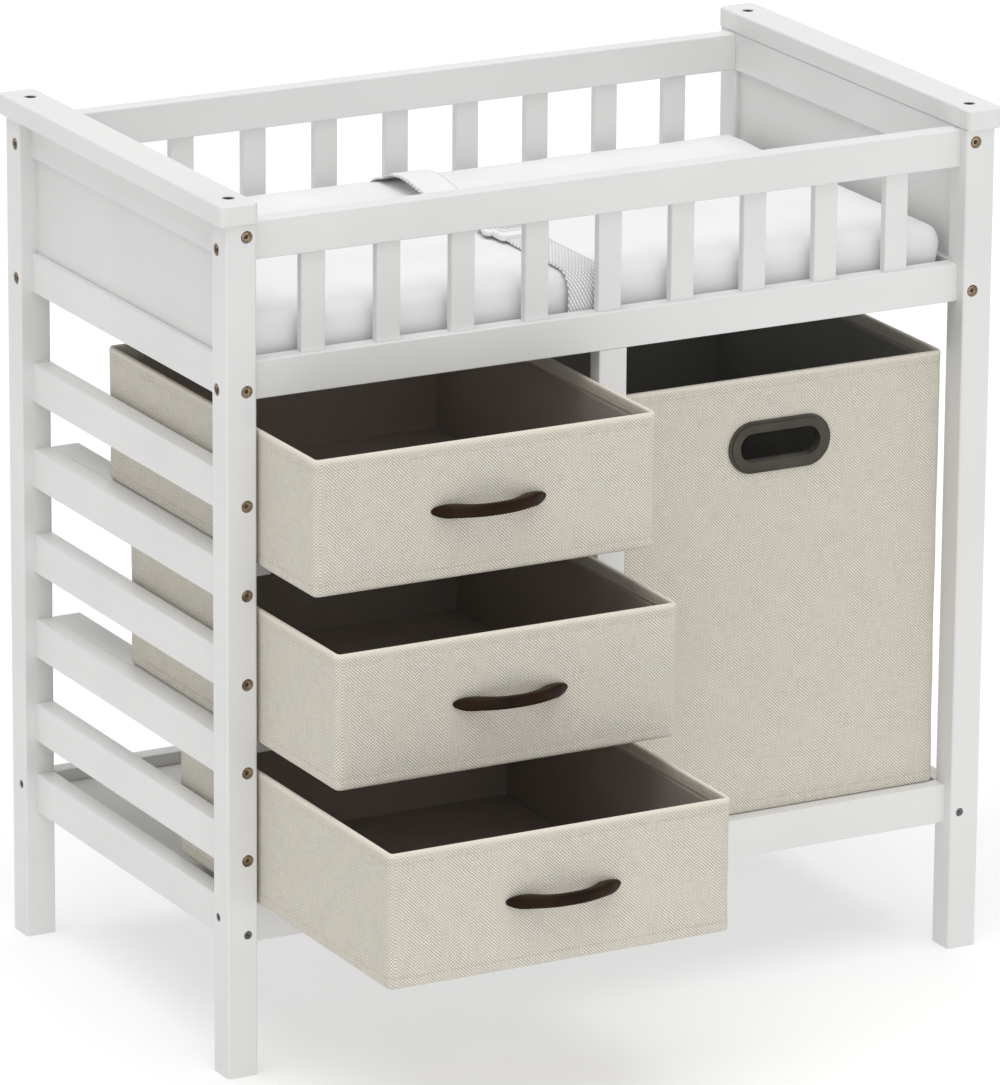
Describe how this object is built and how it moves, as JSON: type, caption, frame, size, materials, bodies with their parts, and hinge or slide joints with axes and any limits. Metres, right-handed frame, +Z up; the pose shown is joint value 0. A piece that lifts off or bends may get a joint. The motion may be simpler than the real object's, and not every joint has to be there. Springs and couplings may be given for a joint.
{
  "type": "changing table",
  "caption": "White wooden changing table: fenced tray with a pad over an open bay of fabric drawers beside a tall fabric laundry hamper with a hand hole.",
  "frame": {"origin": "on the floor, under the middle of the outline as drawn at rest, with the drawers standing open", "axes": "+X to the user's right, +Y to the back, +Z up; the drawers open towards -Y"},
  "size_m": [0.904, 0.8246, 0.919],
  "materials": {
    "white_paint": "satin white paint on wood",
    "white_panel": "satin white paint on board",
    "pad_cover": "soft white wipe-clean cover over foam",
    "linen_fabric": "beige linen-look weave over stiff board",
    "espresso_plastic": "satin dark brown",
    "grommet_plastic": "satin grey-brown"
  },
  "bodies": {
    "table_frame": {"post_front_left": "white_paint", "post_front_right": "white_paint", "post_back_left": "white_paint", "post_back_right": "white_paint", "cap_left": "white_paint", "cap_right": "white_paint", "left_top_rail": "white_paint", "left_panel_rail": "white_paint", "left_base_rail": "white_paint", "left_panel": "white_panel", "right_top_rail": "white_paint", "right_panel_rail": "white_paint", "right_base_rail": "white_paint", "right_panel": "white_panel", "left_slat_1": "white_paint", "left_slat_2": "white_paint", "left_slat_3": "white_paint", "left_slat_4": "white_paint", "left_slat_5": "white_paint", "front_fence_top_rail": "white_paint", "front_fence_bottom_rail": "white_paint", "front_base_rail": "white_paint", "front_baluster_1": "white_paint", "front_baluster_2": "white_paint", "front_baluster_3": "white_paint", "front_baluster_4": "white_paint", "front_baluster_5": "white_paint", "front_baluster_6": "white_paint", "front_baluster_7": "white_paint", "front_baluster_8": "white_paint", "front_baluster_9": "white_paint", "back_fence_top_rail": "white_paint", "back_fence_bottom_rail": "white_paint", "back_base_rail": "white_paint", "back_baluster_1": "white_paint", "back_baluster_2": "white_paint", "back_baluster_3": "white_paint", "back_baluster_4": "white_paint", "back_baluster_5": "white_paint", "back_baluster_6": "white_paint", "back_baluster_7": "white_paint", "back_baluster_8": "white_paint", "back_baluster_9": "white_paint", "changing_board": "white_panel", "bottom_panel": "white_panel", "divider_post_front": "white_paint", "divider_post_back": "white_paint", "runner_left_upper": "white_paint", "runner_left_lower": "white_paint", "runner_divider_upper": "white_paint", "runner_divider_lower": "white_paint"},
    "top_drawer": {"drawer_top": "linen_fabric", "handle_top": "espresso_plastic"},
    "middle_drawer": {"drawer_middle": "linen_fabric", "handle_middle": "espresso_plastic"},
    "bottom_drawer": {"drawer_bottom": "linen_fabric", "handle_bottom": "espresso_plastic"},
    "laundry_hamper": {"hamper": "linen_fabric", "hamper_grommet": "grommet_plastic"},
    "pad": {"changing_pad": "pad_cover"}
  },
  "joints": [
    {"name": "top_drawer_slide", "type": "slide", "parent": "table_frame", "child": "top_drawer", "axis": [0, -1, 0], "range_m": [-0.1485, 0.3515]},
    {"name": "middle_drawer_slide", "type": "slide", "parent": "table_frame", "child": "middle_drawer", "axis": [0, -1, 0], "range_m": [-0.197, 0.303]},
    {"name": "bottom_drawer_slide", "type": "slide", "parent": "table_frame", "child": "bottom_drawer", "axis": [0, -1, 0], "range_m": [-0.311, 0.189]},
    {"name": "hamper_slide", "type": "slide", "parent": "table_frame", "child": "laundry_hamper", "axis": [0, -1, 0], "range_m": [0, 0.5]},
    {"name": "pad_lift", "type": "slide", "parent": "table_frame", "child": "pad", "axis": [0, 0, 1], "range_m": [0, 0.25]}
  ]
}
